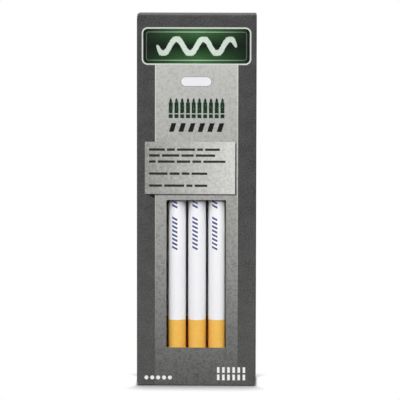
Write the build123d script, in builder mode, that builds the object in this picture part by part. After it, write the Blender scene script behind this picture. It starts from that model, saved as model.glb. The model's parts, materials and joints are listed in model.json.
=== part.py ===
from build123d import *
from math import cos, radians, sin, sqrt
import os

os.makedirs("parts", exist_ok=True)

# A window carton of twelve paper-wrapped china markers, standing on its base with the window towards -Y.
# Millimetres, +Z up, origin at the middle of the base.

# Marker
marker_diameter = 9.4
marker_length = 190.5
core_diameter = 5.0
tip_length = 9.0
tip_straight = 2.5
nose_diameter = 1.8
nose_round = 0.5
string_diameter = 0.6
string_tail = 6.0
band_length = 33.0
band_wall = 0.3
band_floor = 0.4
paper_fit = 0.05

# How the markers lie in the carton
markers_across = 6
markers_shown = 3
marker_gap = 0.94
wall_clearance = 0.15
row_gap = 0.12
front_gap = 1.15
front_shift = 0.29
seat_clearance = 0.05
marker_play = 1.8
play_clearance = 0.1

# Carton board and its folds
board = 0.5
fold_round = 0.4
crease_clearance = 0.1
lid_clearance = 0.1
lid_inset = 0.2

# Window in the front panel
window_height = 77.9
window_sill = 20.2
window_margin = 0.56
window_shift = -0.1
window_corner = 0.7

# Tuck flap
tuck_length = 9.0
tuck_lean = 14.0
tuck_gap = 0.3
tuck_clearance = 0.4
tuck_side_gap = 0.8
tuck_corner = 4.0

# Dust flaps
dust_length = 17.0
dust_shoulder = 2.0
dust_taper = 0.5
dust_back_gap = 1.6
dust_corner = 2.0
bottom_flap_gap = 0.6
bottom_fold_gap = 0.3

# Glue flap
glue_width = 12.0
glue_bevel = 3.0
glue_end_gap = 2.0

# Marker sizes that follow
marker_radius = marker_diameter / 2
core_radius = core_diameter / 2
string_radius = string_diameter / 2
wrapper_end = marker_length - tip_length
bore_radius = core_radius + paper_fit
string_offset = bore_radius + string_radius
band_bore_radius = marker_radius - band_wall
pieces_start = band_floor + paper_fit

# The back row lies wall to wall, the middle row nests in its hollows, and the front row stands in line
# with that, a little looser and to the right, so that nothing stands close behind its gaps
pitch = marker_diameter + marker_gap
front_pitch = marker_diameter + front_gap
line_step = marker_diameter + row_gap
nest_step = sqrt(line_step ** 2 - (pitch / 2) ** 2)

# Room that the leaning tuck flap takes between the back panel and the marker cores
tuck_reach = tuck_gap + board / 2 + tuck_length * sin(radians(tuck_lean)) + board / 2
row_clearance = tuck_reach + tuck_clearance - (marker_radius - core_radius)

# Carton sizes that follow from what it holds
inner_width = (markers_across - 1) * pitch + marker_diameter + 2 * wall_clearance
inner_depth = marker_diameter + line_step + nest_step + 2 * row_clearance
width = inner_width + 2 * board
depth = inner_depth + 2 * board
floor_height = 3 * board
marker_seat = floor_height + seat_clearance
dust_underside = marker_seat + marker_length + marker_play + play_clearance
dust_axis_height = dust_underside + board / 2
lid_axis_height = dust_underside + board + lid_clearance + board / 2
height = lid_axis_height + board / 2

# Crease axes and the free edges of the panels
lid_axis_y = -depth / 2 + board / 2
tuck_axis_y = depth / 2 - board - tuck_gap - board / 2
front_panel_top = lid_axis_height - board / 2 - crease_clearance
side_panel_top = dust_axis_height - board / 2 - crease_clearance
dust_axis_x = width / 2 - board / 2
window_width = (markers_shown - 1) * pitch + marker_diameter + 2 * window_margin


def keep(piece, name):
    piece.label = name
    export_step(piece, f"parts/{name}.step")


# Wax core, with the coned tip that writes
def core_at(seat):
    upright = Plane(origin=seat.origin, x_dir=(1, 0, 0), z_dir=(0, -1, 0))
    cone_start = wrapper_end + tip_straight
    with BuildPart() as core:
        with BuildSketch(upright):
            with BuildLine():
                Polyline(
                    (0, pieces_start),
                    (core_radius, pieces_start),
                    (core_radius, cone_start),
                    (nose_diameter / 2, marker_length),
                    (0, marker_length),
                    close=True,
                )
            make_face()
        revolve(axis=Axis(seat.origin, (0, 0, 1)))
        fillet(core.edges().filter_by(GeomType.CIRCLE).sort_by(Axis.Z)[-1], nose_round)
    return core.part


# Wound paper wrapper: bored for the core, grooved for the string, stepped down inside the end band
def wrapper_at(seat):
    shoulder = band_length + paper_fit
    with BuildPart() as wrapper:
        with BuildSketch(seat.offset(pieces_start)):
            Circle(band_bore_radius - paper_fit)
        extrude(amount=shoulder - pieces_start)
        with BuildSketch(seat.offset(shoulder)):
            Circle(marker_radius)
        extrude(amount=wrapper_end - shoulder)
        with BuildSketch(seat.offset(pieces_start)):
            Circle(bore_radius)
            with Locations((string_offset, 0)):
                Circle(string_radius + paper_fit)
        extrude(amount=wrapper_end - pieces_start, mode=Mode.SUBTRACT)
    return wrapper.part


# Pull string along the core, with its tail past the wrapper
def pull_string_at(seat):
    with BuildPart() as pull_string:
        with BuildSketch(seat.offset(pieces_start)):
            with Locations((string_offset, 0)):
                Circle(string_radius)
        extrude(amount=wrapper_end + string_tail - pieces_start)
    return pull_string.part


# Coloured end band: a cup that closes the marker's blunt end
def end_band_at(seat):
    with BuildPart() as end_band:
        with BuildSketch(seat):
            Circle(marker_radius)
        extrude(amount=band_length)
        with BuildSketch(seat.offset(band_floor)):
            Circle(band_bore_radius)
        extrude(amount=band_length - band_floor, mode=Mode.SUBTRACT)
    return end_band.part


# Rows from the window to the back: three, three, six
front_row_y = row_clearance + marker_radius - inner_depth / 2
middle_row_y = front_row_y + line_step
back_row_y = middle_row_y + nest_step
marker_rows = (
    (markers_shown, front_pitch, front_shift, front_row_y),
    (markers_shown, pitch, 0, middle_row_y),
    (markers_across, pitch, 0, back_row_y),
)
marker_seats = []
for row_count, row_pitch, row_shift, row_y in marker_rows:
    for place in range(row_count):
        row_x = (place - (row_count - 1) / 2) * row_pitch + row_shift
        marker_seats.append(Plane(origin=(row_x, row_y, marker_seat)))

for number, seat in enumerate(marker_seats, start=1):
    keep(core_at(seat), f"marker_{number:02d}_core")
    keep(wrapper_at(seat), f"marker_{number:02d}_wrapper")
    keep(pull_string_at(seat), f"marker_{number:02d}_pull_string")
    keep(end_band_at(seat), f"marker_{number:02d}_end_band")

# Front panel with the window
with BuildPart() as front_panel:
    with BuildSketch(Plane.XZ.offset(depth / 2 - board)):
        with Locations((0, (board + front_panel_top) / 2)):
            Rectangle(width, front_panel_top - board)
        with Locations((window_shift, window_sill + window_height / 2)):
            RectangleRounded(window_width, window_height, window_corner, mode=Mode.SUBTRACT)
    extrude(amount=board)
    front_face = front_panel.faces().sort_by(Axis.Y)[0]
    fillet(front_face.outer_wire().edges().filter_by(Axis.Z), fold_round)
keep(front_panel.part, "front_panel")

# Back panel, whose top edge the tuck flap goes in behind
with BuildPart() as back_panel:
    with BuildSketch(Plane.XZ.offset(-depth / 2)):
        with Locations((0, (board + height) / 2)):
            Rectangle(width, height - board)
    extrude(amount=board)
    fillet(back_panel.faces().sort_by(Axis.Y)[-1].edges().filter_by(Axis.Z), fold_round)
keep(back_panel.part, "back_panel")

# Left side panel, folded on into the glue flap inside the back panel
glue_start = floor_height + glue_end_gap
glue_end = lid_axis_height - tuck_length - glue_end_gap
with BuildPart() as left_side_panel:
    with BuildSketch(Plane.YZ.offset(-width / 2)):
        with Locations((0, (board + side_panel_top) / 2)):
            Rectangle(inner_depth, side_panel_top - board)
    extrude(amount=board)
    with BuildSketch(Plane.XZ.offset(-inner_depth / 2)):
        with BuildLine():
            Polyline(
                (-inner_width / 2, glue_start),
                (-inner_width / 2 + glue_width, glue_start + glue_bevel),
                (-inner_width / 2 + glue_width, glue_end - glue_bevel),
                (-inner_width / 2, glue_end),
                close=True,
            )
        make_face()
    extrude(amount=board)
keep(left_side_panel.part, "left_side_panel")

# Right side panel
with BuildPart() as right_side_panel:
    with BuildSketch(Plane.YZ.offset(inner_width / 2)):
        with Locations((0, (board + side_panel_top) / 2)):
            Rectangle(inner_depth, side_panel_top - board)
    extrude(amount=board)
keep(right_side_panel.part, "right_side_panel")

# Glued bottom: outer panel, inner panel, then the two dust flaps that the markers stand on
with BuildPart() as bottom_outer_panel:
    with BuildSketch(Plane.XY):
        Rectangle(width, depth)
    extrude(amount=board)
    fillet(bottom_outer_panel.edges().filter_by(Axis.Z), fold_round)
keep(bottom_outer_panel.part, "bottom_outer_panel")

with BuildPart() as bottom_inner_panel:
    with BuildSketch(Plane.XY.offset(board)):
        with Locations((0, bottom_fold_gap / 2)):
            Rectangle(inner_width - 2 * bottom_fold_gap, inner_depth - bottom_fold_gap)
    extrude(amount=board)
keep(bottom_inner_panel.part, "bottom_inner_panel")


def bottom_dust_flap(side):
    flap_length = (inner_width - bottom_flap_gap) / 2
    with BuildPart() as flap:
        with BuildSketch(Plane.XY.offset(2 * board)):
            with Locations((side * (inner_width - flap_length) / 2, 0)):
                Rectangle(flap_length, inner_depth - 2 * bottom_fold_gap)
        extrude(amount=board)
    return flap.part


keep(bottom_dust_flap(-1), "bottom_dust_flap_left")
keep(bottom_dust_flap(1), "bottom_dust_flap_right")

# Lid panel, rounded at both creases: on the front panel's top edge and above the tuck flap
lid_width = width - 2 * lid_inset
with BuildPart() as lid_panel:
    with BuildSketch(Plane.YZ.offset(-lid_width / 2)):
        with Locations(((lid_axis_y + tuck_axis_y) / 2, lid_axis_height)):
            SlotCenterToCenter(tuck_axis_y - lid_axis_y, board)
    extrude(amount=lid_width)
keep(lid_panel.part, "lid_panel")

# Tuck flap, hanging from the lid's back crease and leaning in towards the markers
lean = radians(tuck_lean)
tuck_plane = Plane(
    origin=(0, tuck_axis_y, lid_axis_height),
    x_dir=(1, 0, 0),
    z_dir=(0, -cos(lean), sin(lean)),
)
tuck_root = board / 2 + crease_clearance
with BuildPart() as tuck_flap:
    with BuildSketch(tuck_plane) as tuck_outline:
        with Locations((0, -(tuck_root + tuck_length) / 2)):
            Rectangle(inner_width - 2 * tuck_side_gap, tuck_length - tuck_root)
        fillet(tuck_outline.vertices().sort_by(Axis.Z)[:2], tuck_corner)
    extrude(amount=board / 2, both=True)
keep(tuck_flap.part, "tuck_flap")

# Top dust flaps: cut away towards the lid's crease, so that they rise clear of the lid
dust_back_y = tuck_axis_y - dust_back_gap
dust_front_y = lid_axis_y + dust_shoulder


def top_dust_flap(side):
    root_x = side * dust_axis_x
    end_x = side * (dust_axis_x - dust_length)
    with BuildPart() as flap:
        with BuildSketch(Plane.XY.offset(dust_underside)) as outline:
            with BuildLine():
                Polyline(
                    (root_x, dust_front_y),
                    (end_x, dust_front_y + dust_taper * dust_length),
                    (end_x, dust_back_y),
                    (root_x, dust_back_y),
                    close=True,
                )
            make_face()
            fillet(outline.vertices().sort_by(Axis((0, 0, 0), (side, 0, 0)))[:2], dust_corner)
        extrude(amount=board)
        with BuildSketch(Plane.XZ.offset(-dust_back_y)):
            with Locations((root_x, dust_axis_height)):
                Circle(board / 2)
        extrude(amount=dust_back_y - dust_front_y)
    return flap.part


keep(top_dust_flap(-1), "top_dust_flap_left")
keep(top_dust_flap(1), "top_dust_flap_right")

print(f"carton {width:.2f} x {depth:.2f} x {height:.2f} mm, pitch {pitch:.2f}, nest step {nest_step:.3f}")
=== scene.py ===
"""A window carton of twelve china markers: printed board, wound paper, wax and string."""
import json
from math import cos, pi, radians, sin, sqrt

import bmesh
import bpy
from mathutils import Matrix, Vector

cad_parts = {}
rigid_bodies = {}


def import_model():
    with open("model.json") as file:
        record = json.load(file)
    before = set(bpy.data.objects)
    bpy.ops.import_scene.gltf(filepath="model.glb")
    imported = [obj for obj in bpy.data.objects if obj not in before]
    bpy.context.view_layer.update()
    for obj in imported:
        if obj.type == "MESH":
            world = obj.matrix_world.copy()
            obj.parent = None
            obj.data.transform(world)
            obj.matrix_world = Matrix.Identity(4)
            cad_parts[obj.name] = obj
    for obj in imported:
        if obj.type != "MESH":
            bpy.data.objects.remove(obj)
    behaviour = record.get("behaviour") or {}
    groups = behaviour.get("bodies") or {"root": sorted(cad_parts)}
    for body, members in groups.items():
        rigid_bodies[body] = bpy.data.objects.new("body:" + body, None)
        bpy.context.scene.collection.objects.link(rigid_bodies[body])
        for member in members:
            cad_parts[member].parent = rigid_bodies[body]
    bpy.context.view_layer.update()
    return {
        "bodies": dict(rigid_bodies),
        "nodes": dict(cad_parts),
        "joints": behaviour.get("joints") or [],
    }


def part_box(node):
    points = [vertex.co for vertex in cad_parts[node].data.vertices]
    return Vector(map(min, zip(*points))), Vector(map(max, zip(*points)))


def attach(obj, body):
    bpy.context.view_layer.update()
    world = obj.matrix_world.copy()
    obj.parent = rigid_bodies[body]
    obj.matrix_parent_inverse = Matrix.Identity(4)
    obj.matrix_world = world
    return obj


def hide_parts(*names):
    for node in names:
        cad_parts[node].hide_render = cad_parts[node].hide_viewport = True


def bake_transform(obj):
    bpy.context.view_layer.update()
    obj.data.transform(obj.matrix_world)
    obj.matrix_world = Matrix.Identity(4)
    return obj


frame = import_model()
scene = bpy.context.scene
scene.view_settings.view_transform = "Standard"

MM = 0.001

# Carton sizes, from the frame
front_low, front_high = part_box("front_panel")
lid_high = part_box("lid_panel")[1]
tuck_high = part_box("tuck_flap")[1]
half_width = front_high.x
front_y = front_low.y
back_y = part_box("back_panel")[1].y
board = front_high.y - front_low.y
top_z = lid_high.z
crease = {j["name"]: Vector(j["pos_m"]) for j in frame["joints"] if j["type"] == "hinge"}
lid_axis = crease["lid_crease"]
tuck_axis = crease["tuck_crease"]

# Carton folds and cuts
fold = 0.8 * MM
crease_fold = 0.6 * MM
crease_reach = 0.9 * MM
lid_shoulder = 0.6 * MM
foot_fold = 0.8 * MM
front_foot = 1.2 * MM
side_turn = 2 * board + foot_fold
back_turn = board + foot_fold
flap_front = front_y + 2 * fold
flap_back = back_y - board - 2 * fold
side_head = crease["dust_left_crease"].z - crease_reach
front_head = lid_axis.z - crease_reach
back_edge_gap = 0.15 * MM
fold_steps = 8
sharp_angle = 40

# Window in the front panel, as wide as the middle row
window_margin = 0.56 * MM
window_shift = -0.1 * MM
window_sill = 20.2 * MM
window_height = 77.9 * MM
window_corner = 0.7 * MM
window_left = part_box("marker_04_wrapper")[0].x - window_margin + window_shift
window_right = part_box("marker_06_wrapper")[1].x + window_margin + window_shift

# Glue flap and the free ends of the flaps
glue_bevel = 3.0 * MM
glue_end_gap = 2.0 * MM
glue_width = 12.0 * MM
tuck_lean = 14.0
tuck_length = 9.0 * MM
tuck_corner = 4.0 * MM
dust_taper = 0.5
dust_corner = 2.0 * MM

# Marker sizes, from the frame
markers = [b for b in frame["bodies"] if b.startswith("marker_")]
markers_shown = 3
shown_sway = 2
wrapper_low, wrapper_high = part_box("marker_01_wrapper")
core_low, core_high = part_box("marker_01_core")
band_low, band_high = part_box("marker_01_end_band")
string_low, string_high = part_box("marker_01_pull_string")
marker_radius = (wrapper_high.x - wrapper_low.x) / 2
core_radius = (core_high.x - core_low.x) / 2
string_radius = (string_high.x - string_low.x) / 2

# Wound paper
paper_fit = 0.05 * MM
paper_turns = 15
paper_steps = 44
paper_layer = (marker_radius - core_radius - paper_fit) / paper_turns
paper_thickness = 0.8 * paper_layer
turns_above_band = 3.2
lip_sink = 0.45 * MM
lip_roughness = 0.16 * MM
lap_angle = 62.0
print_angle = 255.0

# Coloured ends
band_round = 0.5 * MM
band_wall = 0.3 * MM
band_floor = 0.4 * MM
band_flush = 0.04 * MM

# Pull strings
string_twist = 1.5 * MM
ply_press = 0.94
ply_sides = 8
tail_twisted = 18 * MM
tail_bend = 3 * MM
tail_lean = 0.9 * MM
tail_scatter = 0.3
tail_steps = 180


class Wire:
    """A node's output that takes part in Python sums."""

    def __init__(self, bench, socket):
        self.bench = bench
        self.socket = socket

    def __add__(self, other):
        return self.bench.maths("ADD", self, other)

    def __radd__(self, other):
        return self.bench.maths("ADD", other, self)

    def __sub__(self, other):
        return self.bench.maths("SUBTRACT", self, other)

    def __rsub__(self, other):
        return self.bench.maths("SUBTRACT", other, self)

    def __mul__(self, other):
        return self.bench.maths("MULTIPLY", self, other)

    def __rmul__(self, other):
        return self.bench.maths("MULTIPLY", other, self)

    def __truediv__(self, other):
        return self.bench.maths("DIVIDE", self, other)

    def __pow__(self, other):
        return self.bench.maths("POWER", self, other)

    def __lt__(self, other):
        return self.bench.maths("LESS_THAN", self, other)

    def __gt__(self, other):
        return self.bench.maths("GREATER_THAN", self, other)

    def __abs__(self):
        return self.bench.maths("ABSOLUTE", self)


class Bench:
    """Adds nodes to one tree, of a material, a world or a shape."""

    def __init__(self, tree):
        self.tree = tree
        tree.nodes.clear()

    def add(self, kind, settings=None, sockets=None, out=0):
        node = self.tree.nodes.new(kind)
        for name, value in (settings or {}).items():
            if name == "stops":
                lay_stops(node.color_ramp, value)
            else:
                setattr(node, name, value)
        for key, value in (sockets or {}).items():
            if isinstance(value, Wire):
                self.tree.links.new(value.socket, node.inputs[key])
            else:
                node.inputs[key].default_value = value
        return Wire(self, node.outputs[out]) if node.outputs else None

    def maths(self, operation, *values):
        return self.add("ShaderNodeMath", {"operation": operation}, dict(enumerate(values)))

    def clamp(self, value):
        return self.add("ShaderNodeClamp", None, {"Value": value})

    def mix(self, share, under, over):
        return self.add("ShaderNodeMix", {"data_type": "RGBA"}, {0: share, 6: under, 7: over}, 2)

    def parts(self, vector):
        return [self.add("ShaderNodeSeparateXYZ", None, {"Vector": vector}, k) for k in "XYZ"]

    def join(self, x, y, z):
        return self.add("ShaderNodeCombineXYZ", None, {"X": x, "Y": y, "Z": z})

    def stretch(self, vector, scale):
        return self.add("ShaderNodeVectorMath", {"operation": "MULTIPLY"}, {0: vector, 1: scale})

    def noise(self, vector, size, detail=2.0):
        sockets = {"Vector": vector, "Scale": 1 / size, "Detail": detail, "Roughness": 0.6}
        return self.add("ShaderNodeTexNoise", None, sockets, "Fac")

    def ramp(self, value, stops):
        return self.add("ShaderNodeValToRGB", {"stops": stops}, {"Fac": value}, "Color")

    def bump(self, height, distance, strength):
        sockets = {"Height": height, "Distance": distance, "Strength": strength}
        return self.add("ShaderNodeBump", None, sockets)


def lay_stops(ramp, stops):
    """Puts the stops, (place, colour) from 0 to 1, on a colour ramp."""
    while len(ramp.elements) < len(stops):
        ramp.elements.new(1)
    for element, (place, colour) in zip(ramp.elements, stops):
        element.position = place
        element.color = colour


def tone(code):
    """A colour from its web code, in linear numbers."""
    channels = [int(code[k:k + 2], 16) / 255 for k in (0, 2, 4)]
    return (*[c / 12.92 if c <= 0.04045 else ((c + 0.055) / 1.055) ** 2.4 for c in channels], 1)


def finish(name, paint):
    """A material whose Principled sockets come from paint(bench)."""
    material = bpy.data.materials.new(name)
    material.use_nodes = True
    bench = Bench(material.node_tree)
    surface = bench.add("ShaderNodeBsdfPrincipled", None, paint(bench), "BSDF")
    bench.add("ShaderNodeOutputMaterial", None, {"Surface": surface})
    return material


def rest_place(bench):
    """Where a point of folded board lies when the carton is closed, in metres."""
    return bench.add("ShaderNodeAttribute", {"attribute_name": "rest"}, None, "Vector")


def object_place(bench):
    return bench.add("ShaderNodeTexCoord", None, None, "Object")


# Masks for print, 1 inside and 0 outside
def between(value, low, high):
    return (value > low) * (value < high)


def bar(bench, x, z, centre, size):
    across = bench.maths("COMPARE", x, centre[0], size[0] / 2)
    return across * bench.maths("COMPARE", z, centre[1], size[1] / 2)


def round_bar(bench, x, z, centre, size, corner, soft=0.08):
    """A bar with round corners, and an edge that is soft over a given width."""
    past_x = abs(x - centre[0]) - (size[0] / 2 - corner)
    past_z = abs(z - centre[1]) - (size[1] / 2 - corner)
    out_x = bench.maths("MAXIMUM", past_x, 0)
    out_z = bench.maths("MAXIMUM", past_z, 0)
    inner = bench.maths("MINIMUM", bench.maths("MAXIMUM", past_x, past_z), 0)
    distance = (out_x * out_x + out_z * out_z) ** 0.5 + inner - corner
    return bench.clamp(0.5 - distance / soft)


# Inks
# The charcoal and fleck ramps run from foot to head and are paler at the foot: painted light for the floor's
# bounce
charcoal_and_bounce_stops = [(0.0, tone("4c4c4b")), (0.15, tone("4a4a49")), (0.5, tone("3c3c3c")), (1.0, tone("383838"))]
fleck_and_bounce_stops = [(0.0, tone("717170")), (0.15, tone("6e6e6d")), (0.5, tone("656564")), (1.0, tone("606060"))]
silver_blot = tone("262626")
silver_stops = [
    (0.0, tone("616160")), (0.12, tone("757574")), (0.23, tone("868685")),
    (0.34, tone("969693")), (0.50, tone("a3a3a0")), (0.87, tone("babab7")),
]
plate_left = tone("888885")
plate_right = tone("d2d2cf")
deep_green = tone("040d07")
leaf_green = tone("3d6f3c")
bottle_green = tone("0d2a14")
pale_line = tone("c6ccc4")
wave_middle = tone("ccdccd")
wave_end = tone("a6aaa6")
dark_ink = tone("0d110e")
white_ink = tone("f2f2f0")
swatch_ink = tone("e2e2e6")
swatch_rim_ink = tone("77748c")
shadow_ink = tone("0b0b0b")
blue_ink = tone("2d327c")

# Print on the front panel, in mm from its middle and from the floor
stripe_half, stripe_top, stripe_rim, stripe_wrap = 21.7, 169.0, 0.5, 3.0
panel_centre, panel_size, panel_corner, panel_line = (-0.1, 178.55), (55.6, 18.1), 2.4, 0.75
inner_inset, inner_line, inner_corner = 1.5, 0.4, 1.4
wave_half, wave_height, wave_length, wave_thickness = 21.0, 3.6, 14.0, 3.0
swatch_centre, swatch_size, swatch_corner, swatch_rim = (-0.2, 160.1), (15.6, 4.6), 2.25, 0.35
icon_foot, icon_neck, icon_tip, icon_pitch, icon_width = 141.0, 149.2, 151.6, 3.0, 2.1
icon_ring, icon_core, icon_slope, icons = (143.0, 143.5), 1.3, 0.6, 10
dashes_z, dash_height, dash_pitch, dash_width, dash_slant, dashes = 136.1, 4.6, 5.0, 2.5, 0.3, 6
plate_low, plate_high = (-27.0, 101.2), (20.2, 128.6)
plate_shade, plate_shade_corner, plate_shade_soft, plate_fold_slope = 0.6, 0.5, 0.8, 0.5
word_start, word_gap, word_height = -24.8, 1.15, 1.25
word_lines = (
    (124.5, (8.2, 4.1, 9.4, 3.0, 7.7)),
    (121.4, (5.6, 9.0, 6.4, 10.1)),
    (118.2, (3.4, 8.8, 7.0, 4.6, 11.5)),
    (111.9, (9.6, 5.2, 4.0, 8.2)),
    (105.6, (6.8, 10.4, 3.2, 6.6)),
)
tally_start, tally_pitch, tally_bar, tally_rows, tally_columns = (11.6, 4.5), (2.7, 3.9), (1.35, 3.0), 2, 6
dot_start, dot_pitch, dot_size, dots = (-26.2, 4.3), 3.1, 2.1, 5

# Print on the wrappers, in mm from the floor and round the wrapper
blue_pitch, blue_height, blue_half, blue_slant = 2.2, 1.12, 1.5, 0.45
blue_runs = ((71.8, 89.5), (93.2, 136))


def charcoal_ground_and_bounce(bench, at):
    """Charcoal ink with the mottle of uncoated board under it, paler towards the foot as painted light
    standing in for the floor's bounce.
    """
    grain = bench.noise(at, 0.8 * MM, 3)
    cloud = bench.noise(at, 8 * MM, 2)
    height = bench.parts(at)[2] / top_z
    mottle = bench.clamp((grain - 0.5) * 1.6 + (cloud - 0.5) * 0.5 + 0.2)
    return bench.mix(mottle, bench.ramp(height, charcoal_and_bounce_stops), bench.ramp(height, fleck_and_bounce_stops))


def silver_stripe(bench, z, blot):
    """Silver ink that darkens towards the foot, a little blotted."""
    silver = bench.ramp(z * MM / top_z, silver_stops)
    return bench.mix(bench.clamp((blot - 0.44) * (1.8 - z / stripe_top)), silver, silver_blot)


def wax_wave(bench, x, z, grain):
    """A broad stroke drawn in wax, with a broken edge."""
    rate = 2 * pi / wave_length
    rise = bench.maths("SINE", x * rate) * wave_height
    slope = bench.maths("COSINE", x * rate) * (wave_height * rate)
    off = abs(z - panel_centre[1] - rise) / (slope * slope + 1) ** 0.5
    end = bench.clamp((wave_half - abs(x)) / 1.6) ** 0.5
    half = wave_thickness / 2 * (grain * 0.9 + 0.55) * end
    return bench.clamp((half - off) * 6) * (abs(x) < wave_half)


def marker_row(bench, x, z, grain):
    """A row of ten slim markers, standing with their tips up."""
    off = bench.maths("PINGPONG", x + icon_pitch / 2, icon_pitch / 2)
    body = (off < icon_width / 2) * between(z, icon_foot, icon_neck) * (1 - between(z, *icon_ring))
    core = between(z, icon_neck, icon_tip) * (off < (icon_tip - z) * icon_slope) * (off < icon_core / 2)
    return (body + core) * (abs(x) < icons / 2 * icon_pitch) * bench.clamp((grain - 0.3) * 9 + 0.2)


def slant_dashes(bench, x, z):
    lean = x - (z - dashes_z) * dash_slant
    beat = bench.maths("PINGPONG", lean, dash_pitch / 2)
    rows = bench.maths("COMPARE", z, dashes_z, dash_height / 2)
    return (beat > (dash_pitch - dash_width) / 2) * rows * (abs(lean) < dashes / 2 * dash_pitch)


def word_dashes(bench, x, z):
    """Rows of short dashes, of several lengths."""
    inked = 0
    for height, words in word_lines:
        start = word_start
        row = bench.maths("COMPARE", z, height, word_height / 2)
        across = 0
        for word in words:
            across = across + bench.maths("COMPARE", x, start + word / 2, word / 2)
            start += word + word_gap
        inked = inked + row * across
    return inked


def front_picture(bench, at, ground):
    """The inks of the front panel, laid one over another."""
    x, y, z = [part / MM for part in bench.parts(at)]
    grain = bench.noise(at, 0.6 * MM, 4)
    blot = bench.noise(at, 1.3 * MM, 3)
    stripe = (abs(x) < stripe_half) * (z < stripe_top) * (y < front_y / MM + stripe_wrap)
    picture = bench.mix(stripe, ground, silver_stripe(bench, z, blot))
    rim = stripe * (abs(x) > stripe_half - stripe_rim) * bench.clamp(z / stripe_top - 0.2)
    picture = bench.mix(rim * 0.5, picture, white_ink)

    outline = [size + 2 * panel_line for size in panel_size]
    edge = round_bar(bench, x, z, panel_centre, outline, panel_corner + panel_line)
    picture = bench.mix(edge, picture, pale_line)
    middle = bench.clamp(1 - abs(x - panel_centre[0]) / (panel_size[0] / 2))
    rise = abs(z - panel_centre[1]) / (panel_size[1] / 2)
    green = bench.mix(middle * rise * (grain * 1.2 + 0.3), deep_green, leaf_green)
    picture = bench.mix(round_bar(bench, x, z, panel_centre, panel_size, panel_corner), picture, green)
    inset = [size - 2 * inner_inset for size in panel_size]
    within = [size - 2 * inner_line for size in inset]
    frame_line = round_bar(bench, x, z, panel_centre, inset, inner_corner)
    frame_line = frame_line - round_bar(bench, x, z, panel_centre, within, inner_corner - inner_line)
    picture = bench.mix(bench.clamp(frame_line) * (middle * 0.7 + 0.1), picture, wave_middle)
    wave_ink = bench.mix(bench.clamp((grain - 0.5) * 1.5 + 0.5 - middle * 0.4), wave_middle, wave_end)
    picture = bench.mix(wax_wave(bench, x, z, grain), picture, wave_ink)

    around = [size + 2 * swatch_rim for size in swatch_size]
    rim = round_bar(bench, x, z, swatch_centre, around, swatch_corner + swatch_rim)
    picture = bench.mix(rim * 0.55, picture, swatch_rim_ink)
    swatch = round_bar(bench, x, z, swatch_centre, swatch_size, swatch_corner)
    picture = bench.mix(swatch, picture, swatch_ink)
    picture = bench.mix(marker_row(bench, x, z, grain), picture, bottle_green)
    picture = bench.mix(slant_dashes(bench, x, z), picture, dark_ink)

    plate_centre = [(a + b) / 2 for a, b in zip(plate_low, plate_high)]
    plate_size = [b - a for a, b in zip(plate_low, plate_high)]
    shade_centre = (plate_centre[0] + plate_shade, plate_centre[1] - plate_shade)
    shade = round_bar(bench, x, z, shade_centre, plate_size, plate_shade_corner, plate_shade_soft)
    picture = bench.mix(shade, picture, shadow_ink)
    fold_start = plate_low[0] + plate_shade
    tuck_mark = between(x, fold_start, -stripe_half) * (z < plate_low[1])
    tuck_mark = tuck_mark * (z > plate_low[1] - (x - fold_start) * plate_fold_slope)
    picture = bench.mix(tuck_mark, picture, shadow_ink)
    across = bench.clamp((x - plate_low[0]) / plate_size[0] * 0.85 + (blot - 0.5) * 1.1 + 0.09)
    plate = bench.mix(across, plate_left, plate_right)
    picture = bench.mix(bar(bench, x, z, plate_centre, plate_size), picture, plate)
    picture = bench.mix(word_dashes(bench, x, z) * 0.95, picture, dark_ink)

    for row in range(tally_rows):
        for place in range(tally_columns):
            centre = (tally_start[0] + place * tally_pitch[0], tally_start[1] + row * tally_pitch[1])
            picture = bench.mix(bar(bench, x, z, centre, tally_bar), picture, white_ink)
    for place in range(dots):
        centre = (dot_start[0] + place * dot_pitch, dot_start[1])
        dot = round_bar(bench, x, z, centre, (dot_size, dot_size), dot_size / 2)
        picture = bench.mix(dot, picture, white_ink)
    return picture


def plain_picture(bench, at, ground):
    return ground


def fold_wear(bench, at):
    """Where ink has cracked along the folds."""
    x, y, z = bench.parts(at)
    width = 0.5 * MM
    near_x = bench.clamp((abs(x) - (half_width - width)) / width)
    near_y = bench.clamp((abs(y) - (back_y - width)) / width)
    near_z = bench.clamp((z - (top_z - width)) / width)
    near = near_x * near_y + near_y * near_z + near_z * near_x
    return bench.clamp(near * 1.6) * bench.clamp((bench.noise(at, 1.1 * MM, 4) - 0.46) * 7)


def printed(name, picture):
    """Board printed and varnished on its outside."""
    def paint(bench):
        at = rest_place(bench)
        inks = picture(bench, at, charcoal_ground_and_bounce(bench, at))
        wear = fold_wear(bench, at)
        fibre = bench.noise(bench.stretch(at, (1, 1, 0.35)), 0.35 * MM, 4)
        return {
            "Base Color": bench.mix(wear * 0.15, inks, tone("a3a19b")),
            "Roughness": bench.noise(at, 3 * MM, 2) * 0.16 + 0.5 + wear * 0.2,
            "Specular IOR Level": 0.1,
            "Normal": bench.bump(fibre, 0.02 * MM, 0.35),
        }
    return finish(name, paint)


def raw_paint(bench):
    """The uncoated inside of the board, with fibres and specks."""
    at = rest_place(bench)
    fibre = bench.noise(bench.stretch(at, (1, 1, 0.2)), 0.3 * MM, 4)
    speck = bench.clamp((bench.noise(at, 0.8 * MM, 3) - 0.66) * 9)
    pulp = bench.mix(fibre, tone("857f74"), tone("b3ada0"))
    return {
        "Base Color": bench.mix(speck * 0.5, pulp, tone("5c564c")),
        "Roughness": fibre * 0.15 + 0.8,
        "Specular IOR Level": 0.2,
        "Normal": bench.bump(fibre, 0.04 * MM, 0.5),
    }


def cut_paint(bench):
    """The cut edge of the board, where its plies show."""
    at = rest_place(bench)
    plies = bench.noise(at, 0.12 * MM, 3)
    return {
        "Base Color": bench.mix(plies, tone("4a4946"), tone("8f8c84")),
        "Roughness": plies * 0.1 + 0.85,
        "Specular IOR Level": 0.2,
        "Normal": bench.bump(plies, 0.03 * MM, 0.5),
    }


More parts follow.
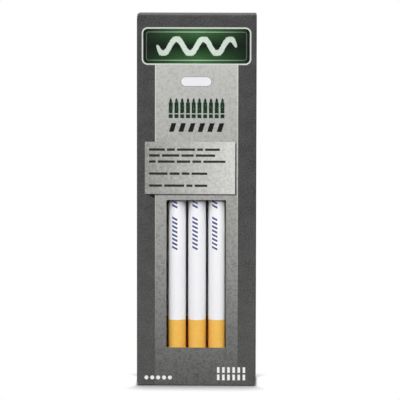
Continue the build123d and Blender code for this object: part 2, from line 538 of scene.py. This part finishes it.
def wrapper_paint(bench):
    """White wound paper, with a printed row of slanting blue dashes."""
    at = object_place(bench)
    _, _, z = [part / MM for part in bench.parts(at)]
    turn = bench.add("ShaderNodeAttribute", {"attribute_name": "turn"}, None, "Fac")
    around = (turn - ((print_angle - lap_angle) % 360) / 360) * (2 * pi * marker_radius / MM)
    lean = z + around * blue_slant
    beat = bench.maths("PINGPONG", lean, blue_pitch / 2)
    lower, upper = [between(lean, *run) for run in blue_runs]
    inked = (beat < blue_height / 2) * (lower + upper) * (abs(around) < blue_half)
    fibre = bench.noise(bench.stretch(at, (1, 1, 0.3)), 0.4 * MM, 4)
    paper = bench.mix(fibre, tone("f1f1f4"), tone("fafafc"))
    layers = bench.clamp((turn - 1.02) * 30)
    paper = bench.mix(layers * 0.5, paper, tone("d9d3c4"))
    return {
        "Base Color": bench.mix(inked * 0.93, paper, blue_ink),
        "Roughness": fibre * 0.12 + 0.45,
        "Specular IOR Level": 0.12,
        "Normal": bench.bump(fibre, 0.02 * MM, 0.25),
    }


def end_paint(bench):
    """Ochre colour, brushed on and a little uneven."""
    at = object_place(bench)
    cloud = bench.noise(at, 2.2 * MM, 3)
    fibre = bench.noise(bench.stretch(at, (1, 1, 0.3)), 0.4 * MM, 4)
    return {
        "Base Color": bench.mix(cloud, tone("eeb44a"), tone("fac866")),
        "Roughness": cloud * 0.12 + 0.34,
        "Specular IOR Level": 0.4,
        "Normal": bench.bump(fibre, 0.02 * MM, 0.25),
    }


def wax_paint(bench):
    at = object_place(bench)
    cloud = bench.noise(at, 1.6 * MM, 4)
    scuff = bench.noise(bench.stretch(at, (1, 1, 0.25)), 0.5 * MM, 3)
    return {
        "Base Color": bench.mix(cloud, tone("e6e3d8"), tone("f4f2ea")),
        "Roughness": cloud * 0.25 + 0.32,
        "Specular IOR Level": 0.45,
        "Normal": bench.bump(scuff, 0.03 * MM, 0.4),
    }


def cotton_paint(bench):
    at = object_place(bench)
    fluff = bench.noise(at, 0.12 * MM, 4)
    return {
        "Base Color": bench.mix(fluff, tone("cfc9b8"), tone("f1eee4")),
        "Roughness": fluff * 0.1 + 0.85,
        "Specular IOR Level": 0.15,
        "Normal": bench.bump(fluff, 0.03 * MM, 0.6),
    }


front_print = printed("front_print", front_picture)
plain_print = printed("plain_print", plain_picture)
raw_board = finish("raw_board", raw_paint)
cut_edge = finish("cut_edge", cut_paint)
wrapper_paper = finish("wrapper_paper", wrapper_paint)
end_colour = finish("end_colour", end_paint)
white_wax = finish("white_wax", wax_paint)
string_cotton = finish("string_cotton", cotton_paint)


# Making pieces
def link(name, mesh):
    piece = bpy.data.objects.new(name, mesh)
    scene.collection.objects.link(piece)
    return piece


def settle(piece):
    """Turns what the modifiers give into the piece's own plain mesh, shaded smooth up to a sharp angle."""
    bpy.context.view_layer.update()
    shaped = piece.evaluated_get(bpy.context.evaluated_depsgraph_get())
    mesh = bpy.data.meshes.new_from_object(shaped)
    piece.modifiers.clear()
    piece.data = mesh
    mesh.polygons.foreach_set("use_smooth", [True] * len(mesh.polygons))
    mesh.set_sharp_from_angle(angle=radians(sharp_angle))
    return piece


def keep_rest(piece):
    """Remembers where each point lies in the closed carton, so that print stays on the board as it folds."""
    spots = piece.data.attributes.new("rest", "FLOAT_VECTOR", "POINT")
    spots.data.foreach_set("vector", [c for v in piece.data.vertices for c in v.co])
    return piece


def arc(centre, radius, start, turn, steps=fold_steps):
    """Points along a round stretch, by angles in degrees."""
    angles = [radians(start + turn * k / steps) for k in range(steps + 1)]
    return [(centre[0] + radius * cos(a), centre[1] + radius * sin(a)) for a in angles]


def steps_between(first, last, steps=fold_steps):
    return [first + (last - first) * k / steps for k in range(steps + 1)]


def together(*sheets):
    """The points and faces of several sheets, as one."""
    points, faces = [], []
    for more_points, more_faces in sheets:
        first = len(points)
        points += more_points
        faces += [[first + k for k in face] for face in more_faces]
    return points, faces


def woven(strips, place):
    """Points and faces of a thin sheet. A strip is a run of (spot, rows) stations."""
    points, faces = [], []
    for strip in strips:
        for (spot, rows), (next_spot, next_rows) in zip(strip, strip[1:]):
            for k in range(len(rows) - 1):
                first = len(points)
                points += [place(spot, rows[k]), place(next_spot, next_rows[k])]
                points += [place(next_spot, next_rows[k + 1]), place(spot, rows[k + 1])]
                faces.append(range(first, first + 4))
    return points, faces


def thick_board(name, points, faces, outward, print_finish, slot="printed_board"):
    """A sheet given the board's thickness on its inside, with raw board there and cut edges all round."""
    mesh = bpy.data.meshes.new(name)
    mesh.from_pydata(points, [], [tuple(f) for f in faces])
    sheet = bmesh.new()
    sheet.from_mesh(mesh)
    bmesh.ops.remove_doubles(sheet, verts=sheet.verts, dist=0.001 * MM)
    bmesh.ops.recalc_face_normals(sheet, faces=sheet.faces)
    broad = max(sheet.faces, key=lambda face: face.calc_area())
    if broad.normal.dot(outward) < 0:
        bmesh.ops.reverse_faces(sheet, faces=sheet.faces)
    sheet.to_mesh(mesh)
    sheet.free()
    for material in (print_finish, raw_board, cut_edge):
        mesh.materials.append(material)
    piece = link(name, mesh)
    wall = piece.modifiers.new("board", "SOLIDIFY")
    wall.thickness = board
    wall.offset = -1
    wall.use_even_offset = True
    wall.material_offset = 1
    wall.material_offset_rim = 2
    return keep_rest(settle(piece))


def in_plan(spot, height):
    return (spot[0], spot[1], height)


def in_side(spot, across):
    return (across, spot[0], spot[1])


def in_front(spot, depth):
    return (spot[0], depth, spot[1])


# Front panel, with its two upright folds and the window
def front_sheet():
    flat = half_width - fold
    top = window_sill + window_height
    columns = [-flat, window_left, window_left + window_corner]
    columns += [window_right - window_corner, window_right, flat]
    heights = [front_foot, window_sill, window_sill + window_corner]
    heights += [top - window_corner, top, side_head, front_head]
    left = arc((-flat, front_y + fold), fold, 270, -90)
    right = arc((flat, front_y + fold), fold, 270, 90)
    rows = [[foot, *heights[1:-1]] for foot in steps_between(front_foot, side_turn)]
    points, faces = woven([list(zip(left, rows)), list(zip(right, rows))], in_plan)
    for c in range(5):
        for h in range(6):
            if c in (1, 2, 3) and h in (1, 2, 3):
                continue
            first = len(points)
            for x, z in ((c, h), (c + 1, h), (c + 1, h + 1), (c, h + 1)):
                points.append((columns[x], front_y, heights[z]))
            faces.append(range(first, first + 4))
    for c, h, start in ((1, 1, 180), (4, 1, 270), (4, 4, 0), (1, 4, 90)):
        corner = (columns[c], heights[h])
        side = 1 if c == 1 else -1
        rise = 1 if h == 1 else -1
        centre = (corner[0] + side * window_corner, corner[1] + rise * window_corner)
        curve = arc(centre, window_corner, start, 90)
        for a, b in zip(curve, curve[1:]):
            first = len(points)
            points += [(p[0], front_y, p[1]) for p in (corner, a, b)]
            faces.append(range(first, first + 3))
    return points, faces


carton_front = thick_board("carton_front", *front_sheet(), Vector((0, -1, 0)), front_print)
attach(carton_front, "carton")
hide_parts("front_panel")


# Left side panel, folded on into the glue flap inside the back and into a dust flap at its foot
def foot_flap(side):
    """The turn at the foot of a side panel, and the dust flap that runs in from it."""
    low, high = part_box(f"bottom_dust_flap_{'left' if side < 0 else 'right'}")
    middle = (side * (half_width - foot_fold), side_turn)
    bend = arc(middle, foot_fold, 180, 90) if side < 0 else arc(middle, foot_fold, 0, -90)
    tip = (high.x if side < 0 else low.x, bend[-1][1])
    return woven([[(spot, [flap_front, flap_back]) for spot in (*bend, tip)]], in_front)


def side_spots(side):
    """A side panel's front edge, and the ends of the flap at its foot."""
    return [(side * half_width, y) for y in (front_y + fold, flap_front, flap_back)]


def left_sheet():
    inner_y = back_y - board
    flap_foot = 3 * board + glue_end_gap
    flap_head = lid_axis.z - tuck_length - glue_end_gap
    side_rows = [side_turn, flap_foot, flap_head, side_head]
    flap_rows = [flap_foot, flap_head]
    tip_rows = [flap_foot + glue_bevel, flap_head - glue_bevel]
    bend = arc((-half_width + fold, inner_y - fold), fold, 180, -90)
    side = [(spot, side_rows) for spot in (*side_spots(-1), bend[0])]
    flap = [(spot, flap_rows) for spot in bend] + [((-half_width + board + glue_width, inner_y), tip_rows)]
    return together(woven([side, flap], in_plan), foot_flap(-1))


carton_left = thick_board("carton_left", *left_sheet(), Vector((-1, 0, 0)), plain_print)
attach(carton_left, "carton")
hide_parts("left_side_panel", "bottom_dust_flap_left")


# Right side panel, folded on into the back panel, whose foot folds into the inner bottom panel
def right_and_back_sheet():
    low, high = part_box("bottom_inner_panel")
    bend = arc((half_width - fold, back_y - fold), fold, 0, 90)
    bend_rows = [[foot, side_head] for foot in steps_between(side_turn, back_turn)]
    back_rows = [back_turn, side_head, top_z]
    side = [(spot, bend_rows[0]) for spot in side_spots(1)] + list(zip(bend, bend_rows))
    edges = [bend[-1][0], high.x, low.x, -half_width + back_edge_gap]
    back = [((x, back_y), back_rows) for x in edges]
    turn = arc((back_y - foot_fold, back_turn), foot_fold, 0, -90)
    bottom = [(spot, [low.x, high.x]) for spot in (*turn, (low.y, turn[-1][1]))]
    return together(woven([side, back], in_plan), woven([bottom], in_side), foot_flap(1))


carton_back = thick_board("carton_right_and_back", *right_and_back_sheet(), Vector((0, 1, 0)), plain_print)
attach(carton_back, "carton")
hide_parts("right_side_panel", "back_panel", "bottom_dust_flap_right", "bottom_inner_panel")


# Bottom panel, folded back from the front panel's foot
def bottom_sheet():
    near = half_width - fold
    bend = arc((front_y + crease_fold, crease_fold), crease_fold, 180, 90)
    path = [(front_y, front_foot), *bend, (back_y - fold, 0)]
    return woven([[(spot, [-near, near]) for spot in path]], in_side)


carton_bottom = thick_board("carton_bottom", *bottom_sheet(), Vector((0, 0, -1)), front_print)
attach(carton_bottom, "carton")
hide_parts("bottom_outer_panel")


# Lid panel, from its crease on the front panel to the crease of the tuck flap
def lid_sheet():
    near, wide = half_width - fold, lid_high.x
    bend = arc((front_y + crease_fold, top_z - crease_fold), crease_fold, 180, -90)
    path = [((front_y, front_head), [-near, near])] + [(spot, [-near, near]) for spot in bend]
    path.append(((bend[-1][0] + lid_shoulder, top_z), [-wide, wide]))
    path.append(((tuck_axis.y - crease_reach, top_z), [-wide, wide]))
    return woven([path], in_side)


lid_board = thick_board("lid_board", *lid_sheet(), Vector((0, 0, 1)), plain_print)
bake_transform(lid_board)
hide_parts("lid_panel")


# Tuck flap, bent down from the lid and leaning in towards the markers
def corner_cut(left, corner):
    """How much a round corner takes off the width, at a distance left to the free end."""
    if left >= corner:
        return 0
    return corner - sqrt(max(corner ** 2 - (corner - left) ** 2, 0))


def tuck_sheet():
    lean = radians(tuck_lean)
    down, out = Vector((-sin(lean), -cos(lean))), Vector((cos(lean), -sin(lean)))
    middle = (tuck_axis.y + (board / 2 - crease_fold) * (1 + sin(lean)) / cos(lean), top_z - crease_fold)
    bend = arc(middle, crease_fold, 90, -90 - tuck_lean)
    axis = Vector((tuck_axis.y, tuck_axis.z))
    wide = tuck_high.x
    path = [((tuck_axis.y - crease_reach, top_z), [-wide, wide])] + [(spot, [-wide, wide]) for spot in bend]
    rounded = [tuck_length - tuck_corner * (1 - sin(radians(a))) for a in steps_between(0, 90)]
    for along in rounded:
        spot = axis + out * (board / 2) + down * along
        reach = wide - corner_cut(tuck_length - along, tuck_corner)
        path.append((tuple(spot), [-reach, reach]))
    return woven([path], in_side)


tuck_board = thick_board("tuck_board", *tuck_sheet(), Vector((0, 1, 0)), plain_print)
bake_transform(tuck_board)
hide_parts("tuck_flap")


# Top dust flaps, folded in from the side panels
def dust_sheet(side):
    low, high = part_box(f"top_dust_flap_{'left' if side < 0 else 'right'}")
    face, upper = side * half_width, high.z
    centre = (face - side * crease_fold, upper - crease_fold)
    bend = arc(centre, crease_fold, 0 if side > 0 else 180, 90 * side)
    root, tip = side * abs(crease["dust_left_crease"].x), (high.x if side < 0 else low.x)
    full = [low.y, high.y]
    path = [((face, side_head), full)] + [(spot, full) for spot in bend]
    inner = bend[-1][0]
    stations = steps_between(inner, tip + side * dust_corner, 2)[1:]
    stations += [tip + side * dust_corner * (1 - sin(radians(a))) for a in steps_between(0, 90)[1:]]
    for x in stations:
        cut = corner_cut(abs(x - tip), dust_corner)
        path.append(((x, upper), [low.y + abs(root - x) * dust_taper + cut, high.y - cut]))
    return woven([path], in_front)


for side, name in ((-1, "left"), (1, "right")):
    flap = thick_board(f"dust_board_{name}", *dust_sheet(side), Vector((0, 0, 1)), plain_print)
    axis = crease[f"dust_{name}_crease"]
    axis = Vector((axis.x, 0, axis.z))
    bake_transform(flap)
    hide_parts(f"top_dust_flap_{name}")


# Trees that shape what is wound or twisted
def shape_tree(name, inputs):
    """An empty shape tree with named inputs, and the identifiers to set them by."""
    tree = bpy.data.node_groups.new(name, "GeometryNodeTree")
    tree.interface.new_socket("Geometry", in_out="INPUT", socket_type="NodeSocketGeometry")
    names = {}
    for label, kind in inputs.items():
        socket = tree.interface.new_socket(label, in_out="INPUT", socket_type=f"NodeSocket{kind}")
        names[label] = socket.identifier
    tree.interface.new_socket("Geometry", in_out="OUTPUT", socket_type="NodeSocketGeometry")
    return tree, names


def finish_tree(bench, geometry, material):
    geometry = bench.add("GeometryNodeRealizeInstances", None, {"Geometry": geometry})
    geometry = bench.add("GeometryNodeSetMaterial", None, {"Geometry": geometry, "Material": material})
    bench.add("NodeGroupOutput", None, {"Geometry": geometry})


def grown(name, tree, names, values):
    """A piece with the shape that a tree gives for these values."""
    piece = link(name, bpy.data.meshes.new(name))
    shape = piece.modifiers.new("shape", "NODES")
    shape.node_group = tree
    for label, value in values.items():
        shape[names[label]] = value
    return settle(piece)


def wound_paper_tree():
    """One sheet wound inwards in a spiral. It stores how many turns lie outside each point."""
    inputs = {"Seat X": "Float", "Seat Y": "Float", "Lap Angle": "Float", "Radius": "Float", "Layer": "Float",
              "Turns": "Float", "Steps": "Int", "Foot": "Float", "Band Top": "Float", "Head": "Float"}
    tree, names = shape_tree("wound_paper", inputs)
    bench = Bench(tree)
    size = {label: bench.add("NodeGroupInput", None, None, label) for label in inputs}
    index = bench.add("GeometryNodeInputIndex")
    line = bench.add("GeometryNodeMeshLine", None,
                     {"Count": size["Turns"] * size["Steps"] + 1, "Offset": (MM, 0, 0)})
    stored = {"Geometry": line, "Name": "turn", "Value": index / size["Steps"]}
    line = bench.add("GeometryNodeStoreNamedAttribute", {"data_type": "FLOAT", "domain": "POINT"}, stored)
    sheet = bench.add("GeometryNodeExtrudeMesh", {"mode": "EDGES"},
                      {"Mesh": line, "Offset": bench.join(0, 0, 1), "Offset Scale": 1.0}, "Mesh")
    turn = bench.add("GeometryNodeInputNamedAttribute", {"data_type": "FLOAT"}, {"Name": "turn"})
    _, _, level = bench.parts(bench.add("GeometryNodeInputPosition"))
    at_head = level > 0.5
    angle = turn * (2 * pi) + size["Lap Angle"]
    radius = size["Radius"] - turn * size["Layer"]
    x = bench.maths("COSINE", angle) * radius
    y = bench.maths("SINE", angle) * radius
    ragged = bench.noise(bench.join(x, y, turn * MM), 3 * MM, 2) - 0.5
    head = size["Head"] - turn / size["Turns"] * lip_sink + ragged * lip_roughness
    foot = size["Foot"] + (turn < turns_above_band) * (size["Band Top"] - size["Foot"])
    place = bench.join(x + size["Seat X"], y + size["Seat Y"], foot + at_head * (head - foot))
    sheet = bench.add("GeometryNodeSetPosition", None, {"Geometry": sheet, "Position": place})
    finish_tree(bench, sheet, wrapper_paper)
    return tree, names


def twisted_string_tree():
    """Two plies twisted round each other near the free end, and lying straight below it."""
    inputs = {"Foot": "Vector", "Twist Start": "Vector", "Bend": "Vector", "Free End": "Vector",
              "Ply Radius": "Float", "Twist Length": "Float"}
    tree, names = shape_tree("twisted_string", inputs)
    bench = Bench(tree)
    size = {label: bench.add("NodeGroupInput", None, None, label) for label in inputs}
    plies = []
    for side in (-1, 1):
        ply = bench.add("GeometryNodeCurvePrimitiveCircle", None,
                        {"Resolution": ply_sides, "Radius": size["Ply Radius"]})
        beside = bench.join(size["Ply Radius"] * (side * ply_press), 0, 0)
        plies.append(bench.add("GeometryNodeTransform", None, {"Geometry": ply, "Translation": beside}))
    profile = bench.add("GeometryNodeJoinGeometry", None, {"Geometry": plies[0]})
    tree.links.new(plies[1].socket, profile.socket.node.inputs["Geometry"])

    index = bench.add("GeometryNodeInputIndex")
    line = bench.add("GeometryNodeMeshLine", None, {"Count": tail_steps + 2, "Offset": (MM, 0, 0)})
    share = bench.clamp((index - 1) / tail_steps)
    rest = 1 - share
    place = []
    for foot, start, bend, end in zip(*[bench.parts(size[label]) for label in list(inputs)[:4]]):
        tail = start * rest * rest + bend * share * rest * 2 + end * share * share
        place.append(tail + (index < 1) * (foot - tail))
    line = bench.add("GeometryNodeSetPosition", None, {"Geometry": line, "Position": bench.join(*place)})
    run = bench.add("GeometryNodeMeshToCurve", None, {"Mesh": line})
    along = bench.add("GeometryNodeSplineParameter", None, None, "Length")
    straight = bench.parts(size["Twist Start"])[2] - bench.parts(size["Foot"])[2]
    twist = bench.maths("MAXIMUM", along - straight, 0) / size["Twist Length"] * (2 * pi)
    run = bench.add("GeometryNodeSetCurveTilt", None, {"Curve": run, "Tilt": twist})
    string = bench.add("GeometryNodeCurveToMesh", None,
                       {"Curve": run, "Profile Curve": profile, "Fill Caps": True})
    finish_tree(bench, string, string_cotton)
    return tree, names


def paper_walls(piece, seat):
    """Gives the wound sheet its paper's thickness, on the side towards the core."""
    sheet = bmesh.new()
    sheet.from_mesh(piece.data)
    sheet.normal_update()
    sheet.faces.ensure_lookup_table()
    face = sheet.faces[0]
    if face.normal.dot(face.calc_center_median() - Vector((seat.x, seat.y, face.calc_center_median().z))) < 0:
        bmesh.ops.reverse_faces(sheet, faces=sheet.faces)
    sheet.to_mesh(piece.data)
    sheet.free()
    wall = piece.modifiers.new("paper", "SOLIDIFY")
    wall.thickness = paper_thickness
    wall.offset = -1
    return settle(piece)


def turned(name, profile, seat, material, steps=64):
    """A closed piece turned about a marker's axis from a profile of (radius, height) points."""
    shape = bmesh.new()
    rings = []
    for radius, height in profile:
        if radius == 0:
            rings.append([shape.verts.new((seat.x, seat.y, height))] * steps)
            continue
        angles = [2 * pi * k / steps for k in range(steps)]
        spots = [(seat.x + radius * cos(a), seat.y + radius * sin(a), height) for a in angles]
        rings.append([shape.verts.new(spot) for spot in spots])
    for ring, after in zip(rings, rings[1:] + rings[:1]):
        for k in range(steps):
            corners = [ring[k], ring[(k + 1) % steps], after[(k + 1) % steps], after[k]]
            corners = list(dict.fromkeys(corners))
            if len(corners) > 2:
                shape.faces.new(corners)
    bmesh.ops.recalc_face_normals(shape, faces=shape.faces)
    mesh = bpy.data.meshes.new(name)
    shape.to_mesh(mesh)
    shape.free()
    mesh.materials.append(material)
    mesh.polygons.foreach_set("use_smooth", [True] * len(mesh.polygons))
    mesh.set_sharp_from_angle(angle=radians(sharp_angle))
    return link(name, mesh)


def end_profile():
    """A cup with a round rim at its foot, from the middle of its floor outside to the middle inside."""
    radius = marker_radius - band_flush
    foot, head = band_low.z, band_high.z
    rim = arc((radius - band_round, foot + band_round), band_round, 270, 90)
    bore = marker_radius - band_wall
    return [(0, foot), *rim, (radius, head), (bore, head), (bore, foot + band_floor), (0, foot + band_floor)]


def lie_angle(number):
    """A marker's turn in degrees: those in the window show their print, and the rest lie as they fell."""
    if number < markers_shown:
        return shown_sway * sin(number * 2.4)
    return 100 + 47 * number % 160


wound_paper, paper_names = wound_paper_tree()
twisted_string, string_names = twisted_string_tree()

for number, marker in enumerate(markers):
    low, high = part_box(f"{marker}_wrapper")
    seat = (low + high) / 2
    wrapper = grown(f"{marker}_wound_wrapper", wound_paper, paper_names, {
        "Seat X": seat.x, "Seat Y": seat.y, "Lap Angle": radians(lap_angle + lie_angle(number)),
        "Radius": marker_radius, "Layer": paper_layer, "Turns": float(paper_turns), "Steps": paper_steps,
        "Foot": low.z, "Band Top": band_high.z + paper_fit, "Head": high.z})
    paper_walls(wrapper, seat)
    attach(wrapper, marker)
    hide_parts(f"{marker}_wrapper")

    end = turned(f"{marker}_coloured_end", end_profile(), seat, end_colour)
    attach(end, marker)
    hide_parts(f"{marker}_end_band")

    foot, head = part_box(f"{marker}_pull_string")
    middle = (foot + head) / 2
    outward = Vector((1, tail_scatter * sin(number * 1.7), 0)) * tail_lean
    string = grown(f"{marker}_twisted_string", twisted_string, string_names, {
        "Foot": (middle.x, middle.y, foot.z), "Twist Start": (middle.x, middle.y, head.z - tail_twisted),
        "Bend": (middle.x, middle.y, head.z - tail_bend),
        "Free End": tuple(Vector((middle.x, middle.y, head.z)) + outward),
        "Ply Radius": string_radius / 2, "Twist Length": string_twist})
    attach(string, marker)
    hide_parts(f"{marker}_pull_string")

    frame["nodes"][f"{marker}_core"].data.materials.clear()
    frame["nodes"][f"{marker}_core"].data.materials.append(white_wax)


# White studio: floor, sky, lamps and camera
camera_distance = 1659.8 * MM
camera_elevation = 5.27
camera_azimuth = 1.269
camera_roll = 0.093
picture_pixels = 400
picture_width = picture_pixels * 0.5279 * MM
picture_shift = (2.92 / picture_pixels, -1.56 / picture_pixels)
strip_width, strip_height, strip_distance, strip_lift = 0.25, 1.6, 1.5, 47
right_turn, right_power = 14, 19.8
left_turn, left_power = -15, 18.4
sky_ahead, sky_behind, sky_rise = 0.03, 1.5, 3.0
# The grey of the floor's painted shade near the carton's foot, and the dim floor that other rays see
floor_shade_grey, floor_bounce = 0.3, 0.06
# The reach of that painted shade: how far ahead it fades, its narrow edge beside the sides, and how it
# narrows and widens its soft edge further ahead
contact_fade, contact_edge, contact_taper, contact_spread = 20 * MM, 1.1 * MM, 0.6, 1.3


def light_path(bench):
    """1 where the camera sees a thing, straight or in a reflection."""
    kinds = ("Is Camera Ray", "Is Glossy Ray", "Is Transmission Ray")
    straight, mirrored, through = [bench.add("ShaderNodeLightPath", None, None, kind) for kind in kinds]
    return bench.clamp(straight + mirrored + through)


def white_sky():
    world = bpy.data.worlds.new("white_sky")
    world.use_nodes = True
    scene.world = world
    bench = Bench(world.node_tree)
    _, towards_back, _ = bench.parts(bench.add("ShaderNodeTexCoord", None, None, "Generated"))
    behind = bench.clamp(towards_back * sky_rise) * (sky_behind - sky_ahead) + sky_ahead
    soft = bench.add("ShaderNodeBackground", None, {"Color": (1, 1, 1, 1), "Strength": behind})
    white = bench.add("ShaderNodeBackground", None, {"Color": (1, 1, 1, 1), "Strength": 1.0})
    sky = bench.add("ShaderNodeMixShader", None, {0: light_path(bench), 1: soft, 2: white})
    bench.add("ShaderNodeOutputWorld", None, {"Surface": sky})


def white_floor():
    mesh = bpy.data.meshes.new("studio_floor")
    reach = 8.0
    corners = [(-reach, -reach, 0), (reach, -reach, 0), (reach, reach, 0), (-reach, reach, 0)]
    mesh.from_pydata(corners, [], [range(4)])
    floor = link("studio_floor", mesh)
    material = bpy.data.materials.new("studio_white_painted_shade")
    material.use_nodes = True
    bench = Bench(material.node_tree)
    # Near the carton's foot the camera sees dark grey paper, painted shade on top of the real shadow that
    # falls there, fading into white glow further out
    x, y, _ = bench.parts(object_place(bench))
    ahead = bench.maths("MAXIMUM", abs(y) - back_y, 0)
    beside = bench.maths("MAXIMUM", abs(x) - half_width + ahead * contact_taper, 0)
    beside = beside / (ahead * contact_spread + contact_edge)
    ahead = ahead / contact_fade
    far = bench.clamp((beside * beside + ahead * ahead) ** 0.5)
    dim = bench.add("ShaderNodeBsdfDiffuse", None, {"Color": (floor_bounce, floor_bounce, floor_bounce, 1)})
    # The grey paper of the painted shade
    paper = bench.add("ShaderNodeBsdfDiffuse", None, {"Color": (floor_shade_grey, floor_shade_grey, floor_shade_grey, 1)})
    glow = bench.add("ShaderNodeEmission", None, {"Color": (1, 1, 1, 1), "Strength": 1.0})
    pale = bench.add("ShaderNodeMixShader", None, {0: far, 1: paper, 2: glow})
    surface = bench.add("ShaderNodeMixShader", None, {0: light_path(bench), 1: dim, 2: pale})
    bench.add("ShaderNodeOutputMaterial", None, {"Surface": surface})
    mesh.materials.append(material)


def strip_lamp(name, azimuth, power):
    """A tall soft box, turned towards the middle of the carton."""
    lamp = bpy.data.lights.new(name, "AREA")
    lamp.shape = "RECTANGLE"
    lamp.size, lamp.size_y = strip_width, strip_height
    lamp.energy = power
    a, e = radians(azimuth), radians(strip_lift)
    towards = Vector((sin(a) * cos(e), -cos(a) * cos(e), sin(e)))
    holder = bpy.data.objects.new(name, lamp)
    holder.location = middle_point + towards * strip_distance
    holder.rotation_euler = towards.to_track_quat("Z", "Y").to_euler()
    scene.collection.objects.link(holder)


middle_point = Vector((0, 0, top_z / 2))
white_sky()
white_floor()
strip_lamp("right_lamp", right_turn, right_power)
strip_lamp("left_lamp", left_turn, left_power)

view = bpy.data.cameras.new("camera")
view.sensor_width = 36
view.lens = view.sensor_width * camera_distance / picture_width
view.shift_x, view.shift_y = picture_shift
camera = bpy.data.objects.new("camera", view)
scene.collection.objects.link(camera)
turn, lift = radians(camera_azimuth), radians(camera_elevation)
back = Vector((sin(turn) * cos(lift), -cos(turn) * cos(lift), sin(lift)))
camera.location = middle_point + back * camera_distance
aim = back.to_track_quat("Z", "Y").to_matrix() @ Matrix.Rotation(radians(camera_roll), 3, "Z")
camera.rotation_euler = aim.to_euler()
scene.camera = camera
